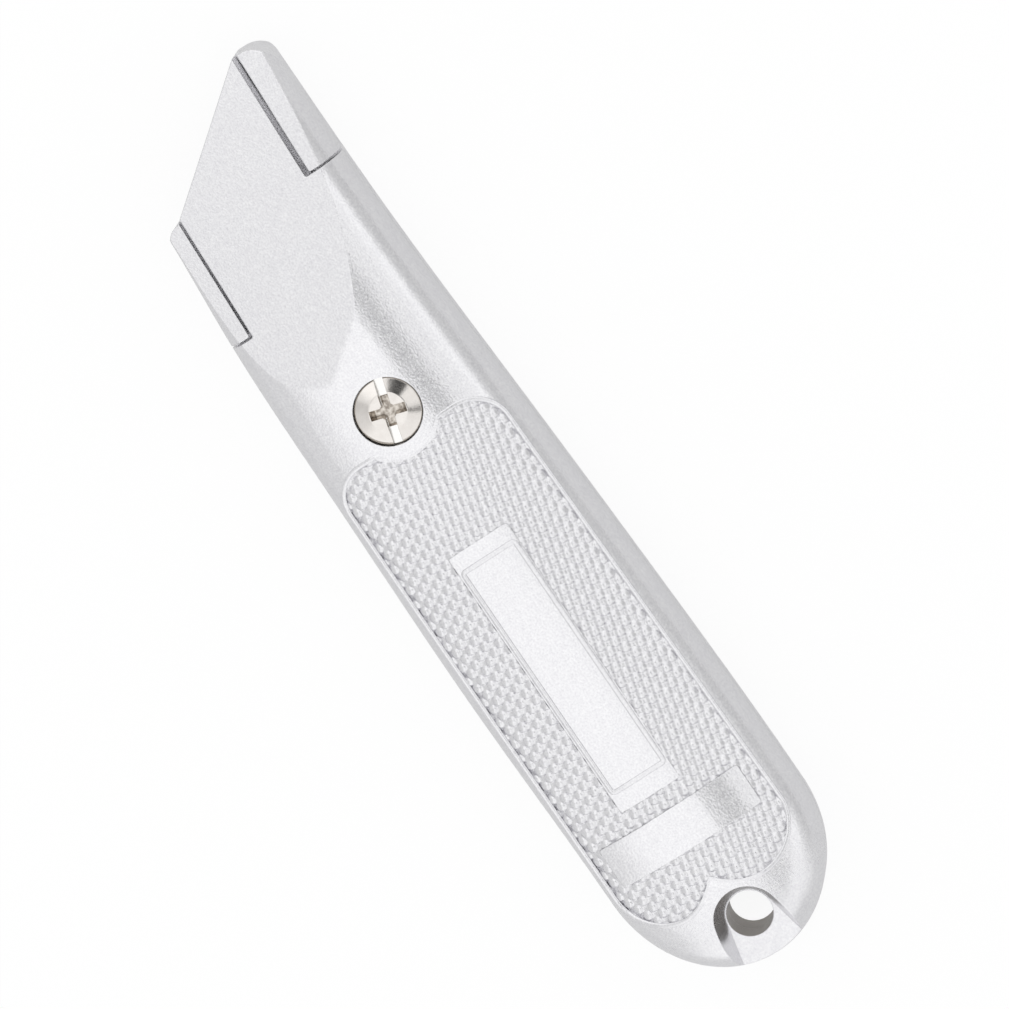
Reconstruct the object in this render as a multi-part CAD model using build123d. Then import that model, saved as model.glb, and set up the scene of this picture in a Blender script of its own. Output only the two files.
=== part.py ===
from build123d import *
from math import atan2, cos, degrees, radians, sin, sqrt, tan
import os

# A fixed-blade utility knife with a two-shell die-cast handle. All sizes are in mm.
# Working frame: X runs from the nose to the tail, Y towards the spine, Z out of the front shell,
# with Z = 0 on the parting plane. The finished pieces are moved so that the origin is at the
# bottom centre of the closed knife, which lies on its rear face.

# ---- handle outline, seen from the front; its length follows from what it holds ----
tail_length = 18.7  # half axis of the elliptical tail along X
tail_half_width = 16.6
tail_rise = 0.65  # the tail's centre over the handle's centre line
spine_nose = 13.35  # height of the spine over the centre line, from the nose to the palm
spine_waist = 13.6
spine_grip = 14.8
spine_palm = 16.5
belly_chin = 14.6  # depth of the belly under the centre line
belly_waist = 15.6
belly_grip = 16.3
belly_palm = 16.6
chin_x = 19.0
waist_x = 32.0
grip_x = 60.0
palm_to_tail = 33.3  # from the palm forward of the tail's centre

# ---- handle section ----
half_thickness = 8.65  # from the parting plane to the flat land along the crest
crest_height = 8.85  # where the crowned face would peak without that land
crown_radius = 41.0
edge_radius = 6.0
wall = 2.3
seam_gap = 0.1  # between the two shells' rims

# ---- nose ----
nose_edge_top = 8.2  # where the slanted nose edge meets the upper lug
nose_edge_foot_x = 15.2
nose_edge_foot = 11.4  # below the centre line
facet_slope_deg = 9.3
facet_height_at_edge = 4.0  # half thickness of the nose at its slanted edge
lug_corner_radius = 4.0
lower_lug_corner_radius = 2.6
chin_step = 0.5  # from the slanted edge's foot back to the lower lug's rounded end
tongue_slope_deg = 0.9  # the tongue's two long edges fall slightly towards the tail
tongue_top = 8.1
tongue_bottom = 11.1
upper_step_x = 19.8
lower_step_x = 34.9
upper_lug_gap = 0.9
lower_lug_gap = 0.45
step_gap = 0.4
step_corner_radius = 0.3

# ---- blades ----
blade_length = 61.5
blade_back_length = 34.0
blade_width = 18.8
blade_thickness = 0.6
blade_bevel_width = 1.7
blade_edge_thickness = 0.08
blade_notch_width = 3.2
blade_notch_depth = 3.3
blade_notch_spacing = 12.7
blade_side_clearance = 0.3
blade_stack_gap = 0.05
spare_blades = 3

# ---- blade seat in the nose ----
seat_clearance = 0.1  # over a clamped blade's thickness
seat_reach = 39.0  # how far back from the nose the inner end of the working blade lies
nib_clearance = 0.2
nib_height = 0.5

# ---- grip panel ----
panel_depth = 0.45
panel_nose_x = 58.6
panel_nose_top = 12.8
panel_nose_bottom = 14.8
panel_corner_radius = 5.7
panel_tail_reach = 19.0  # from the handle's end to where the two tail lobes begin
panel_tail_top = 14.4
panel_tail_bottom = 14.6
panel_lobe_reach = 11.9  # from the handle's end to the lobes
panel_lobe_top = 6.2
panel_lobe_bottom = 7.2
panel_lobe_radius = 8.0
panel_cusp_reach = 15.3  # from the handle's end to where the lobes meet
panel_cusp_y = -0.6
panel_cusp_radius = 9.0
screw_land_radius = 7.0  # smooth ring left around the screw
land_corner_radius = 0.4  # on the plate land and the bar
plate_reach = 52.7  # from the handle's end to the centre of the smooth plate
plate_y = -1.0
plate_length = 44.8
plate_width = 10.2
plate_drop = 0.2  # the plate land lies this far under the crowned face
bar_reach = 23.9  # from the handle's end to the smooth cross bar
bar_width = 6.6
bar_top = 11.8
bar_bottom = 12.2

# ---- clamp screw and its bosses ----
screw_x = 54.2
screw_y = -1.1
screw_radius = 2.5
screw_head_radius = 4.95
screw_head_height = 2.4  # to the ridge round the recess
screw_head_chamfer = 0.3
screw_rim_height = 1.72
screw_rim_radius = 0.2
screw_cone_height = 0.44
screw_cone_end = 2.9  # radius where the head's cone rounds over into its ridge
screw_ridge_radius = 2.4
screw_dish_depth = 0.1  # the head is sunk this much inside its ridge
screw_tip_chamfer = 0.5
counterbore_clearance = 0.15
counterbore_depth = 2.55  # from the crest land down to the head's seat
shank_clearance = 0.1  # in the front shell
thread_clearance = 0.05  # in the rear shell, where the thread is left plain
thread_pitch = 0.8
thread_depth = 0.35
thread_turns = 8
screw_end_wall = 3.0  # from the screw's tip to the rear shell's outer face
tapped_hole_spare = 0.6
slot_width = 1.35
slot_depth = 1.1
slot_angle_deg = -16.0
cross_length = 5.5
cross_width = 1.45
cross_draft = 0.22
hub_radius = 1.25
cross_depth = 1.9
boss_wall = 3.6

# ---- spare-blade store ----
store_gap = 2.45  # between the screw's boss and the store's end wall
store_y = -0.4
store_wall = 1.3
store_rim_drop = 0.5  # the store's walls stop this far under the parting plane
stack_top_drop = 0.8  # and the stack's top face this far under it
rail_width = 1.4
rail_spacing = 13.0
finger_gap = 22.0
hold_rib_width = 1.4
hold_rib_clearance = 0.25
hold_rib_inset = 5.0  # from each end of the stack

# ---- locating peg ----
tail_room = 9.84  # behind the store, where the peg stands
peg_reach = 6.95  # from the store to the peg
peg_y = 0.4
peg_radius = 1.8
peg_length = 2.6
peg_clearance = 0.1
peg_boss_wall = 1.5

# ---- lanyard eye ----
eye_to_tail = 7.2
eye_y = 0.6
eye_radius = 3.45
eye_floor = 4.5  # height of the dish's floor over the parting plane
dish_radius = 3.6  # at its floor
dish_fan_deg = 12.5  # each side of the dish opens this much towards the tail
dish_draft_deg = 20.0

# ---- worked out ----
run_out = 30.0  # how far cutting solids reach past what they cut
boss_radius = screw_radius + shank_clearance + boss_wall
store_half_length = blade_length / 2 + blade_side_clearance + store_wall
store_x = screw_x + boss_radius + store_gap + store_half_length
peg_x = store_x + store_half_length + peg_reach
core_start_x = seat_reach + wall
core_end_x = store_x + store_half_length + tail_room
dish_top_radius = dish_radius + (half_thickness - eye_floor) * tan(radians(dish_draft_deg))
eye_x = core_end_x + wall + dish_top_radius
handle_length = eye_x + eye_to_tail
tail_x = handle_length - tail_length
palm_x = tail_x - palm_to_tail
panel_tail_x = handle_length - panel_tail_reach
panel_lobe_x = handle_length - panel_lobe_reach
panel_cusp_x = handle_length - panel_cusp_reach
plate_x = handle_length - plate_reach
bar_x = handle_length - bar_reach
slot_half_height = (blade_thickness + seat_clearance) / 2
head_seat = half_thickness - counterbore_depth
screw_tip = half_thickness - screw_end_wall
blade_seat_y = (tongue_top - tongue_bottom) / 2
stack_pitch = blade_thickness + blade_stack_gap
stack_height = spare_blades * stack_pitch - blade_stack_gap


def handle_face(inset):
    """The handle's outline moved in by inset, with a square end run out past the nose."""
    front_x = -run_out
    spine = [
        (front_x, spine_nose - inset),
        (0.0, spine_nose - inset),
        (waist_x, spine_waist - inset),
        (grip_x, spine_grip - inset),
        (palm_x, spine_palm - inset),
        (tail_x, tail_rise + tail_half_width - inset),
    ]
    belly = [
        (tail_x, tail_rise - tail_half_width + inset),
        (palm_x, inset - belly_palm),
        (grip_x, inset - belly_grip),
        (waist_x, inset - belly_waist),
        (chin_x, inset - belly_chin),
        (front_x, inset - belly_chin),
    ]
    with BuildSketch() as sketch:
        with BuildLine():
            Spline(*spine, tangents=((1, 0), (1, 0)))
            EllipticalCenterArc(
                (tail_x, tail_rise),
                tail_length - inset,
                tail_half_width - inset,
                start_angle=90,
                arc_size=-180,
            )
            Spline(*belly, tangents=((-1, 0), (-1, 0)))
            Line(belly[-1], spine[0])
        make_face()
    return sketch.sketch


def envelope(inset=0.0):
    """The front half of the rounded handle, its surface moved in by inset, running past the nose."""
    crown_turn = atan2(tail_rise - screw_y, tail_x - screw_x)
    crown_axis = Pos(screw_x, screw_y, crest_height - crown_radius) * Rot(0, 0, degrees(crown_turn))
    crown = crown_axis * Rot(0, 90, 0) * Cylinder(crown_radius - inset, 4 * handle_length)
    half = extrude(handle_face(inset), crest_height) & crown
    rim = [e for e in half.edges() if e.center().Z > 1.0 and e.center().X > 0.5 - run_out]
    half = fillet(rim, edge_radius - inset)
    return half & above(0.0, half_thickness - inset)


def above(low, high):
    """A slab that holds everything between two heights."""
    size = 3 * handle_length
    return Pos(0, 0, (low + high) / 2) * Box(size, size, high - low)


def nose_plan():
    """Everything behind the slanted nose edge and the two lugs' rounded ends, as a face."""
    far = handle_length + run_out
    lug_end = spine_nose - lug_corner_radius
    chin_end = lower_lug_corner_radius - belly_chin
    foot = (nose_edge_foot_x, -nose_edge_foot)
    chin_front = nose_edge_foot_x + chin_step
    with BuildSketch() as sketch:
        with BuildLine():
            Polyline((0, lug_end), (0, nose_edge_top), foot, (chin_front, chin_end))
            CenterArc(
                (chin_front + lower_lug_corner_radius, chin_end), lower_lug_corner_radius, 180, 90
            )
            Polyline(
                (chin_front + lower_lug_corner_radius, -belly_chin),
                (chin_front + lower_lug_corner_radius, -run_out),
                (far, -run_out),
                (far, run_out),
                (lug_corner_radius, run_out),
                (lug_corner_radius, spine_nose),
            )
            CenterArc((lug_corner_radius, lug_end), lug_corner_radius, 90, 90)
        make_face()
    return sketch.sketch


def above_facet():
    """All that the nose's flat facet takes off the front half, thinning it towards the slanted edge."""
    along = Vector(nose_edge_foot_x, -(nose_edge_top + nose_edge_foot), 0).normalized()
    inward = Vector(-along.Y, along.X, 0)
    slope = radians(facet_slope_deg)
    normal = Vector(0, 0, cos(slope)) - inward * sin(slope)
    facet = Plane(origin=(0, nose_edge_top, facet_height_at_edge), x_dir=along, z_dir=normal)
    size = 2 * handle_length
    return facet * Pos(0, 0, size / 2) * Box(size, size, size)


def closed_handle():
    """The two halves' outer form in one piece, the back a mirror of the front."""
    front = (envelope() & extrude(nose_plan(), half_thickness)) - above_facet()
    return front + mirror(front, Plane.XY)


def block(x_low, x_high, y_low, y_high, z_low, z_high):
    """A box between two corners."""
    centre = Pos((x_low + x_high) / 2, (y_low + y_high) / 2, (z_low + z_high) / 2)
    return centre * Box(x_high - x_low, y_high - y_low, z_high - z_low)


def post(x, y, radius, z_low, z_high):
    """A round bar or hole along Z."""
    return Pos(x, y, (z_low + z_high) / 2) * Cylinder(radius, z_high - z_low)


# ---- the interlocking nose ----
def lug_zone(step_x, gap_along, gap_step, side):
    """The prism that a nose lug fills: side 1 is the spine's lug and side -1 the belly's.

    Its long edge lies gap_along outside the tongue's, and its end gap_step before step_x.
    """
    tongue_edge = tongue_top if side > 0 else -tongue_bottom
    fall = tan(radians(tongue_slope_deg))
    end_x = step_x - gap_step
    near = (-run_out, tongue_edge + fall * run_out + side * gap_along)
    corner = (end_x, tongue_edge - fall * end_x + side * gap_along)
    with BuildSketch() as sketch:
        with BuildLine():
            Polyline(near, corner, (end_x, side * run_out), (-run_out, side * run_out), close=True)
        make_face()
        fillet(sketch.vertices().sort_by_distance(corner)[0], step_corner_radius)
    return Pos(0, 0, -run_out) * extrude(sketch.sketch, 2 * run_out)


def blade_slot():
    """The thin space between the tongue and the seat that the working blade is clamped in."""
    reach = blade_width / 2 + blade_side_clearance
    return block(
        -run_out,
        seat_reach + blade_side_clearance,
        blade_seat_y - reach,
        blade_seat_y + reach,
        -slot_half_height,
        slot_half_height,
    )


def seat_nib():
    """The stub on the seat that stands in the blade's inner notch."""
    notch_radius = blade_notch_width / 2
    x = seat_reach - blade_length / 2 + blade_notch_spacing / 2
    y = blade_seat_y + blade_width / 2 - blade_notch_depth + notch_radius
    return post(x, y, notch_radius - nib_clearance, -facet_height_at_edge / 2, nib_height - slot_half_height)


# ---- the grip panel ----
def panel_face():
    """The sunk grip area: arched round the screw at one end, two lobes at the other."""
    root = sqrt(screw_land_radius**2 - (panel_nose_x - screw_x) ** 2)
    corner = panel_corner_radius
    upper_root = (panel_nose_x, screw_y + root)
    lower_root = (panel_nose_x, screw_y - root)
    upper_tail = (panel_tail_x, panel_tail_top)
    lower_tail = (panel_tail_x, -panel_tail_bottom)
    upper_lobe = (panel_lobe_x, panel_lobe_top)
    lower_lobe = (panel_lobe_x, -panel_lobe_bottom)
    cusp = (panel_cusp_x, panel_cusp_y)
    with BuildSketch() as sketch:
        with BuildLine():
            ThreePointArc(lower_root, (screw_x + screw_land_radius, screw_y), upper_root)
            Line(upper_root, (panel_nose_x, panel_nose_top - corner))
            CenterArc((panel_nose_x + corner, panel_nose_top - corner), corner, 90, 90)
            Line((panel_nose_x + corner, panel_nose_top), upper_tail)
            RadiusArc(upper_tail, upper_lobe, panel_lobe_radius)
            RadiusArc(upper_lobe, cusp, panel_cusp_radius)
            RadiusArc(cusp, lower_lobe, panel_cusp_radius)
            RadiusArc(lower_lobe, lower_tail, panel_lobe_radius)
            Line(lower_tail, (panel_nose_x + corner, -panel_nose_bottom))
            CenterArc((panel_nose_x + corner, corner - panel_nose_bottom), corner, 180, 90)
            Line((panel_nose_x, corner - panel_nose_bottom), lower_root)
        make_face()
        with Locations((plate_x, plate_y)):
            RectangleRounded(plate_length, plate_width, land_corner_radius, mode=Mode.SUBTRACT)
        with Locations((bar_x, (bar_top - bar_bottom) / 2)):
            RectangleRounded(bar_width, bar_top + bar_bottom, land_corner_radius, mode=Mode.SUBTRACT)
    return sketch.sketch


def panel_recess():
    """What sinks the grip panel evenly under the crowned face, and the plate land a little less."""
    plate = Pos(plate_x, plate_y) * RectangleRounded(plate_length, plate_width, land_corner_radius)
    recess = extrude(panel_face(), run_out) - envelope(panel_depth)
    return recess + (extrude(plate, run_out) - envelope(plate_drop))


def eye_cut():
    """The lanyard hole with the dish around its front mouth, which runs out through the tail."""
    fan = radians(dish_fan_deg)
    root = (-dish_radius * sin(fan), dish_radius * cos(fan))
    end = (root[0] + run_out * cos(fan), root[1] + run_out * sin(fan))
    with BuildSketch() as floor:
        with BuildLine():
            ThreePointArc((root[0], -root[1]), (-dish_radius, 0), root)
            Polyline(root, end, (end[0], -end[1]), (root[0], -root[1]))
        make_face()
    dish = extrude(floor.sketch, half_thickness, taper=-dish_draft_deg)
    return Pos(eye_x, eye_y, eye_floor) * dish + post(eye_x, eye_y, eye_radius, 0, half_thickness)


def face_details():
    """Everything cut into the outside of the front half, and mirrored into the back."""
    return panel_recess() + eye_cut()


# ---- the hollow inside ----
def core():
    """The hollow in the front half, behind the blade seat and in front of the lanyard eye."""
    return envelope(wall) & block(core_start_x, core_end_x, -run_out, run_out, -seam_gap, half_thickness)


def store_frame():
    """The rib wall round the spare blades, open at the middle of each long side for a finger."""
    outer_x = store_half_length
    clear_x = outer_x - store_wall
    clear_y = blade_width / 2 + blade_side_clearance
    outer_y = clear_y + store_wall
    rim = -store_rim_drop
    frame = block(-outer_x, outer_x, -outer_y, outer_y, -half_thickness, rim)
    frame -= block(-clear_x, clear_x, -clear_y, clear_y, -half_thickness, rim)
    half_gap = finger_gap / 2
    frame -= block(-half_gap, half_gap, -outer_y, outer_y, -half_thickness, rim)
    return Pos(store_x, store_y, 0) * frame


def store_rails():
    """Two rails that the stack of spare blades lies on."""
    top = -stack_top_drop - stack_height
    rails = [
        block(
            store_x - blade_length / 2,
            store_x + blade_length / 2,
            store_y + side * rail_spacing / 2 - rail_width / 2,
            store_y + side * rail_spacing / 2 + rail_width / 2,
            -half_thickness,
            top,
        )
        for side in (-1, 1)
    ]
    return rails[0] + rails[1]


def hold_ribs():
    """Two cross ribs under the front shell's roof that keep the spare blades down."""
    reach = blade_length / 2 - hold_rib_inset
    half_y = blade_width / 2 - blade_side_clearance
    low = hold_rib_clearance - stack_top_drop
    ribs = [
        block(
            store_x + side * reach - hold_rib_width / 2,
            store_x + side * reach + hold_rib_width / 2,
            store_y - half_y,
            store_y + half_y,
            low,
            half_thickness,
        )
        for side in (-1, 1)
    ]
    return ribs[0] + ribs[1]


def inside_shell(feature):
    """The part of an inner feature that a front half holds, rooted halfway into its wall."""
    return (feature & envelope(wall / 2)) + (feature & above(-half_thickness, 0))


# ---- the pieces ----
def make_front_shell():
    """The cover: tongue, grip panel, screw counterbore, hold-down ribs and locating peg."""
    rim = seam_gap / 2
    roof = half_thickness
    shell = closed_handle() & above(rim, roof)
    shell -= lug_zone(upper_step_x, 0, 0, 1)
    shell -= lug_zone(lower_step_x, 0, 0, -1)
    shell -= blade_slot()
    shell -= core() - post(screw_x, screw_y, boss_radius, rim, roof)
    peg = post(peg_x, peg_y, peg_radius, -peg_length, roof)
    peg += post(peg_x, peg_y, peg_radius + peg_boss_wall, rim, roof)
    shell += inside_shell(peg)
    shell += inside_shell(hold_ribs())
    shell -= post(screw_x, screw_y, screw_radius + shank_clearance, 0, roof)
    shell -= post(screw_x, screw_y, screw_head_radius + counterbore_clearance, head_seat, run_out)
    shell -= face_details()
    return shell


def make_rear_shell():
    """The back: blade seat, two nose lugs, tapped boss, spare-blade store and peg socket."""
    rim = -seam_gap / 2
    floor = -half_thickness
    lugs = lug_zone(upper_step_x, upper_lug_gap, step_gap, 1)
    lugs += lug_zone(lower_step_x, lower_lug_gap, step_gap, -1)
    shell = closed_handle() - (above(rim, half_thickness) - lugs)
    shell -= blade_slot()
    shell += seat_nib()
    shell -= mirror(core(), Plane.XY) - post(screw_x, screw_y, boss_radius, floor, rim)
    socket = post(peg_x, peg_y, peg_radius + peg_clearance + peg_boss_wall, floor, rim)
    fittings = socket + store_frame() + store_rails()
    shell += fittings & mirror(envelope(wall / 2), Plane.XY)
    shell -= post(peg_x, peg_y, peg_radius + peg_clearance, -peg_length - 2 * peg_clearance, 0)
    shell -= post(screw_x, screw_y, screw_radius + thread_clearance, -screw_tip - tapped_hole_spare, 0)
    shell -= mirror(face_details(), Plane.XY)
    return shell


def tapered_bar(length, width, draft, low, high):
    """A bar that narrows downwards by the draft on each side, and by three times that at its ends."""
    floor = Pos(0, 0, low) * Rectangle(length - 6 * draft, width - 2 * draft)
    mouth = Pos(0, 0, high) * Rectangle(length, width)
    return loft([floor, mouth])


def make_clamp_screw():
    """The truss-head screw, with ring grooves for its thread and a combined slot and cross recess."""
    top = head_seat + screw_head_height
    rim_top = head_seat + screw_rim_height
    rim_middle_x = screw_head_radius - screw_rim_radius * (1 - cos(radians(45)))
    rim_middle_z = rim_top + screw_rim_radius * sin(radians(45))
    cone_start = (screw_head_radius - screw_rim_radius, rim_top + screw_rim_radius)
    cone_end = (screw_cone_end, cone_start[1] + screw_cone_height)
    cone_slope = screw_cone_height / (cone_start[0] - screw_cone_end)
    dish_floor = (0, top - screw_dish_depth)
    thread_start = -screw_tip + screw_tip_chamfer
    shank = [(0, -screw_tip), (screw_radius - screw_tip_chamfer, -screw_tip), (screw_radius, thread_start)]
    for turn in range(thread_turns):
        groove = thread_start + (turn + 0.5) * thread_pitch
        shank += [(screw_radius - thread_depth, groove), (screw_radius, groove + thread_pitch / 2)]
    shank += [
        (screw_radius, head_seat),
        (screw_head_radius - screw_head_chamfer, head_seat),
        (screw_head_radius, head_seat + screw_head_chamfer),
        (screw_head_radius, rim_top),
    ]
    with BuildSketch(Plane.XZ) as profile:
        with BuildLine():
            Polyline(*shank)
            ThreePointArc((screw_head_radius, rim_top), (rim_middle_x, rim_middle_z), cone_start)
            Line(cone_start, cone_end)
            Spline(cone_end, (screw_ridge_radius, top), dish_floor, tangents=((-1, cone_slope), (-1, 0)))
            Line(dish_floor, (0, -screw_tip))
        make_face()
    screw = revolve(profile.sketch, Axis.Z)
    reach = screw_head_radius + counterbore_clearance
    slot = block(-reach, reach, -slot_width / 2, slot_width / 2, top - slot_depth, top + 1)
    low = top - cross_depth
    mouth = top + screw_dish_depth
    wing = tapered_bar(cross_length, cross_width, cross_draft, low, mouth)
    hub = Pos(0, 0, (low + mouth) / 2) * Cone(hub_radius - cross_draft, hub_radius, mouth - low)
    cross = wing + Rot(0, 0, 90) * wing + hub
    recess = Rot(0, 0, slot_angle_deg) * (slot + cross)
    return Pos(screw_x, screw_y, 0) * (screw - recess)


def make_blade():
    """A trapezoid blade, its edge towards the belly, centred on the origin with its lower face there."""
    half_edge = blade_length / 2
    half_back = blade_back_length / 2
    half_width = blade_width / 2
    thick = blade_thickness
    edge_low = (thick - blade_edge_thickness) / 2
    corners = [
        (-half_edge, -half_width),
        (half_edge, -half_width),
        (half_back, half_width),
        (-half_back, half_width),
    ]
    section = [
        (-half_width, edge_low),
        (blade_bevel_width - half_width, 0),
        (half_width, 0),
        (half_width, thick),
        (blade_bevel_width - half_width, thick),
        (-half_width, thick - edge_low),
    ]
    outline = extrude(make_face(Polyline(*corners, close=True)), thick)
    ground = extrude(Plane.YZ * make_face(Polyline(*section, close=True)), blade_length, both=True)
    blade = outline & ground
    notch_radius = blade_notch_width / 2
    notch_y = half_width - blade_notch_depth + notch_radius
    for side in (-1, 1):
        x = side * blade_notch_spacing / 2
        blade -= post(x, notch_y, notch_radius, -thick, 2 * thick)
        blade -= block(x - notch_radius, x + notch_radius, notch_y, half_width + 1, -thick, 2 * thick)
    return blade


def make_spare_blades():
    """The spare blades lying flat on the store's rails, one over another, the lowest first."""
    lowest = -stack_top_drop - stack_height
    return [Pos(store_x, store_y, lowest + i * stack_pitch) * make_blade() for i in range(spare_blades)]


pieces = {
    "rear_shell": make_rear_shell(),
    "front_shell": make_front_shell(),
    "clamp_screw": make_clamp_screw(),
}
for number, spare in enumerate(make_spare_blades(), start=1):
    pieces[f"spare_blade_{number}"] = spare

closed = pieces["rear_shell"].bounding_box().add(pieces["front_shell"].bounding_box())
to_origin = Pos(-closed.center().X, -closed.center().Y, -closed.min.Z)

os.makedirs("parts", exist_ok=True)
for name, piece in pieces.items():
    export_step(to_origin * piece, f"parts/{name}.step")

print("origin moved by", to_origin.position)
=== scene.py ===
from math import atan2, cos, hypot, pi, radians, sin, sqrt

import bmesh
import bpy
import numpy as np
from mathutils import Matrix, Vector
from mathutils.bvhtree import BVHTree
from mathutils.geometry import delaunay_2d_cdt


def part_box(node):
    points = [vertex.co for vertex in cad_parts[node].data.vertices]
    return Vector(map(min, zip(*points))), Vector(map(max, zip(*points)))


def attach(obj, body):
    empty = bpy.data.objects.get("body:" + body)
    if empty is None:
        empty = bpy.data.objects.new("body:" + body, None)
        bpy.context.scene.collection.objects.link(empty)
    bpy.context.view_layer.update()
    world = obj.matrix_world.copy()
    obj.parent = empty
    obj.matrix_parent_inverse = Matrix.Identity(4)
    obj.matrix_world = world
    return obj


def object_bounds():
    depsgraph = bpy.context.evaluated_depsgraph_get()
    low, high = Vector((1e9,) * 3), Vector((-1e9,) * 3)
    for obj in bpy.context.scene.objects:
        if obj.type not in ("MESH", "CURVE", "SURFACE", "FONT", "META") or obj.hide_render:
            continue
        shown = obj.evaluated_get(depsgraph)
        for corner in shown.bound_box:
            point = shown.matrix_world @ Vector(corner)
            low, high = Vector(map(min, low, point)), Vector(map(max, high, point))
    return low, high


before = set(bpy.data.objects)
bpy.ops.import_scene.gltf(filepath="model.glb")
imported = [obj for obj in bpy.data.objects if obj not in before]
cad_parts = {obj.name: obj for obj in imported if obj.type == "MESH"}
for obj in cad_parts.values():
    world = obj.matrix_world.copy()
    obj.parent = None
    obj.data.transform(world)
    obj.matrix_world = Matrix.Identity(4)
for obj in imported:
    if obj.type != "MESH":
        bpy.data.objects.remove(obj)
cad_low, cad_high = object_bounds()
scene = bpy.context.scene

MM = 0.001  # the drawing sizes below are in mm, and Blender's are in metres

# ---- where the handle lies ----
# Drawing frame: x from the nose tip to the tail, y from the handle's centre line towards the spine,
# z from the parting plane out of the front shell.
SCREW_X, SCREW_Y = 54.2, -1.1
screw_low, screw_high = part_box("clamp_screw")
screw_centre = (screw_low + screw_high) / 2
nose_x = screw_centre.x - SCREW_X * MM
centre_y = screw_centre.y - SCREW_Y * MM
parting_z = (cad_low.z + cad_high.z) / 2


def at(x, y, z):
    """A point of the drawing frame in the row frame, in metres."""
    return Vector((nose_x + x * MM, centre_y + y * MM, parting_z + z * MM))


HANDLE_LENGTH = (cad_high.x - nose_x) / MM
HALF_THICKNESS = (cad_high.z - parting_z) / MM
CROWN_RADIUS = 41.0
CREST_TAIL_X, CREST_TAIL_Y = HANDLE_LENGTH - 18.7, 0.65  # the crest runs from the screw to here
CREST_TURN = atan2(CREST_TAIL_Y - SCREW_Y, CREST_TAIL_X - SCREW_X)  # of the crest from +X
LAND_DEPTH = 0.3  # level faces less than this under the highest point are the crest's land
SLOT_FLOOR = 1.15  # the screw's slot is a little deeper than this under the highest point
RECESS_DEEP = 1.45  # the floor of its slot lies above this, and that of its cross below
RECESS_REACH = 4.6  # upright faces nearer the screw's axis than this are the recess's walls
EYE_X, EYE_Y, EYE_RADIUS = HANDLE_LENGTH - 7.2, 0.6, 3.45
COUNTERBORE_RADIUS = 5.10
FACET_END_X, FACET_END_Y = 45.5, -4.0  # where the nose's facet runs out into the crown

# ---- grip panel ----
PANEL_NOSE_X = 58.6
PANEL_NOSE_TOP = 12.8
PANEL_NOSE_BOTTOM = 14.8
PANEL_CORNER_RADIUS = 5.7
PANEL_TAIL_X = HANDLE_LENGTH - 19.0
PANEL_TAIL_TOP = 14.4
PANEL_TAIL_BOTTOM = 14.6
PANEL_LOBE_X = HANDLE_LENGTH - 11.9
PANEL_LOBE_TOP = 6.2
PANEL_LOBE_BOTTOM = 7.2
PANEL_LOBE_RADIUS = 8.0
PANEL_CUSP_X = HANDLE_LENGTH - 15.3
PANEL_CUSP_Y = -0.6
PANEL_CUSP_RADIUS = 9.0
SCREW_LAND_RADIUS = 7.0
PLATE_X, PLATE_Y = HANDLE_LENGTH - 52.7, -1.0
PLATE_LENGTH, PLATE_WIDTH = 44.8, 10.2
LAND_CORNER = 0.4
BAR_X, BAR_WIDTH = HANDLE_LENGTH - 23.9, 6.6
BAR_TOP, BAR_BOTTOM = 11.8, 12.2

# ---- studs ----
STUD_ROW_PITCH = 1.660  # across the rows that climb towards the spine
STUD_ROW_TURN = 31.1  # degrees from the handle's length
STUD_FILE_PITCH = 1.626  # across the files that cross them
STUD_FILE_TURN = 28.4
STUD_PHASE = np.array([0.07, -0.33])  # of a stud's tip along the two pitches
STUD_BASE = 0.01  # of the valleys over the panel's floor
STUD_HEIGHT = 0.43
STUD_SQUARENESS = 2.1  # 2 is a round stud and more is a squarer one
STUD_POINT = 2.3  # 1 is a pyramid, 2 a dome
STUD_STEPS = 10  # mesh steps across one stud
FIELD_GAP = 0.03  # between the stud field and the recess's walls
FIELD_HALF_WIDTH = 16.5  # more than the panel's
FIELD_EDGE_STEP = 0.2  # of the mesh along the field's edges
FIELD_EDGE_CLEAR = 0.05  # from the field's edges to the first points of the lattice
SKIN_DEPTH = 0.15  # the studs' own skin lies this far inside the casting

# ---- bead round the panel ----
RIDGE_STEPS = 8  # over the half round of a bead or frame
BEAD_HALF_WIDTH = 0.34
BEAD_RISE = 0.13  # over the crowned face
BEAD_INSET = 0.08  # of its middle from the recess's wall
BEAD_FOOT = 0.36  # the stud field stops this far inside the wall
BEAD_ROOT = 0.5  # its foot lies this far inside the casting
BESIDE_BEAD = 0.40  # the crowned face is measured this far out, and again as far
TOP_CLEARANCE = 0.006  # trim stays this far under the crest

# ---- raised frame on the plate ----
FRAME_X, FRAME_Y = PLATE_X - 0.15, PLATE_Y + 0.05
FRAME_LENGTH, FRAME_WIDTH = 38.8, 8.95  # between the ridge's middles
FRAME_HALF_WIDTH = 0.40
FRAME_RISE = 0.26
FRAME_ROOT = 0.15
FRAME_CORNER = 0.5
FRAME_STEP = 1.0  # along its length

SAME_POINT = 1e-4  # points of an outline nearer than this are one
PLAN_TOLERANCE, SKIN_TOLERANCE = 1e-6, 1e-7  # of the triangulations


# ======================================================================================
# Drawing helpers
# ======================================================================================
def arc_points(centre, radius, start, sweep, step=0.35):
    """Points along an arc, angles in radians, both ends included."""
    count = max(3, int(abs(sweep) * radius / step))
    angles = [start + sweep * i / count for i in range(count + 1)]
    return [(centre[0] + radius * cos(angle), centre[1] + radius * sin(angle)) for angle in angles]


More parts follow.
